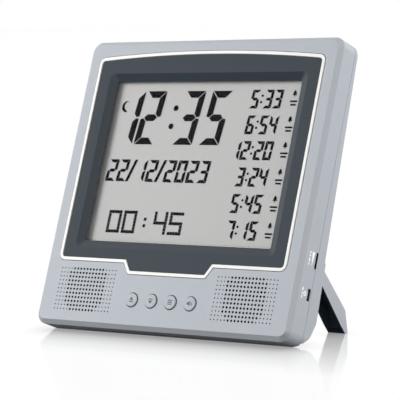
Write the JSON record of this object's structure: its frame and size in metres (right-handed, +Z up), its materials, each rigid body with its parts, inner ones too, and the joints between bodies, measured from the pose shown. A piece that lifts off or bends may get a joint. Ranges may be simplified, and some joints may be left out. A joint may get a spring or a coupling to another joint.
{
  "type": "azan clock",
  "caption": "Leaning desk clock with a large grey LCD behind a bevelled fascia and white trim, drilled speaker grilles, round buttons and folding rear legs.",
  "frame": {"origin": "middle of the whole object's footprint, on the table it stands on", "axes": "+X to the viewer's right along the face, +Y from the face towards the back, +Z up from the table"},
  "size_m": [0.214, 0.097, 0.1955],
  "materials": {
    "housing": "satin silver-grey paint",
    "trim": "glossy white",
    "fascia": "dark slate, satin gloss",
    "lens": "clear",
    "lcd_glass": "clear",
    "lcd_face": "pale grey",
    "inner_plastic": "natural white",
    "rubber_strip": "matte",
    "circuit_board": "green resist",
    "chips": "matte black",
    "cloth": "fine black cloth",
    "speaker_metal": "zinc plated",
    "cone_paper": "matte black",
    "wheel_plastic": "matte",
    "inlet_metal": "bright",
    "leg_plastic": "satin, near black",
    "pin_steel": "plain",
    "cell_wrap": "printed wrap without lettering",
    "contact_metal": "nickel plated",
    "screw_steel": "dark zinc",
    "button_plastic": "satin silver"
  },
  "bodies": {
    "housing": {"front_shell": "housing", "rear_cover": "housing", "trim_frame": "trim", "fascia_bezel": "fascia", "display_window": "lens", "lcd_panel": "lcd_glass", "lcd_reflector": "lcd_face", "display_tray": "inner_plastic", "lcd_connector": "rubber_strip", "main_board": "circuit_board", "button_board": "circuit_board", "side_board": "circuit_board", "board_components": "chips", "tact_switches": "chips", "speaker_cloth_left": "cloth", "speaker_cloth_right": "cloth", "speaker_frame_left": "speaker_metal", "speaker_frame_right": "speaker_metal", "speaker_cone_left": "cone_paper", "speaker_cone_right": "cone_paper", "speaker_magnet_left": "speaker_metal", "speaker_magnet_right": "speaker_metal", "volume_control": "inlet_metal", "power_inlet": "inlet_metal", "inlet_tongue": "inner_plastic", "battery_cells": "cell_wrap", "battery_contacts": "contact_metal", "battery_springs": "contact_metal", "housing_screws": "screw_steel", "board_screws": "screw_steel"},
    "leg_left": {"leg_left": "leg_plastic", "leg_pin_left": "pin_steel"},
    "leg_right": {"leg_right": "leg_plastic", "leg_pin_right": "pin_steel"},
    "volume_wheel": {"volume_wheel": "wheel_plastic"},
    "battery_door": {"battery_door": "housing"},
    "button_up": {"button_up_cap": "button_plastic", "button_up_plunger": "inner_plastic"},
    "button_down": {"button_down_cap": "button_plastic", "button_down_plunger": "inner_plastic"},
    "button_set": {"button_set_cap": "button_plastic", "button_set_plunger": "inner_plastic"},
    "button_sound": {"button_sound_cap": "button_plastic", "button_sound_plunger": "inner_plastic"}
  },
  "joints": [
    {"name": "leg_left_fold", "type": "hinge", "parent": "housing", "child": "leg_left", "pos_m": [-0.09815, -0.00528, 0.04709], "axis": [-1, 0, 0], "range_deg": [0, 58.27]},
    {"name": "leg_right_fold", "type": "hinge", "parent": "housing", "child": "leg_right", "pos_m": [0.09815, -0.00528, 0.04709], "axis": [-1, 0, 0], "range_deg": [0, 58.27]},
    {"name": "button_up_press", "type": "slide", "parent": "housing", "child": "button_up", "axis": [0, 0.92, -0.392], "range_m": [0, 0.0006], "stiffness_N_per_m": 1500, "springref_m": -0.0003},
    {"name": "button_down_press", "type": "slide", "parent": "housing", "child": "button_down", "axis": [0, 0.92, -0.392], "range_m": [0, 0.0006], "stiffness_N_per_m": 1500, "springref_m": -0.0003},
    {"name": "button_set_press", "type": "slide", "parent": "housing", "child": "button_set", "axis": [0, 0.92, -0.392], "range_m": [0, 0.0006], "stiffness_N_per_m": 1500, "springref_m": -0.0003},
    {"name": "button_sound_press", "type": "slide", "parent": "housing", "child": "button_sound", "axis": [0, 0.92, -0.392], "range_m": [0, 0.0006], "stiffness_N_per_m": 1500, "springref_m": -0.0003},
    {"name": "volume_turn", "type": "hinge", "parent": "housing", "child": "volume_wheel", "pos_m": [0.09865, -0.01151, 0.05276], "axis": [0, 0.92, -0.392], "range_deg": [-140, 140]},
    {"name": "battery_door_open", "type": "hinge", "parent": "housing", "child": "battery_door", "pos_m": [0, -0.01585, 0.0149], "axis": [-1, 0, 0], "range_deg": [0, 80]}
  ]
}
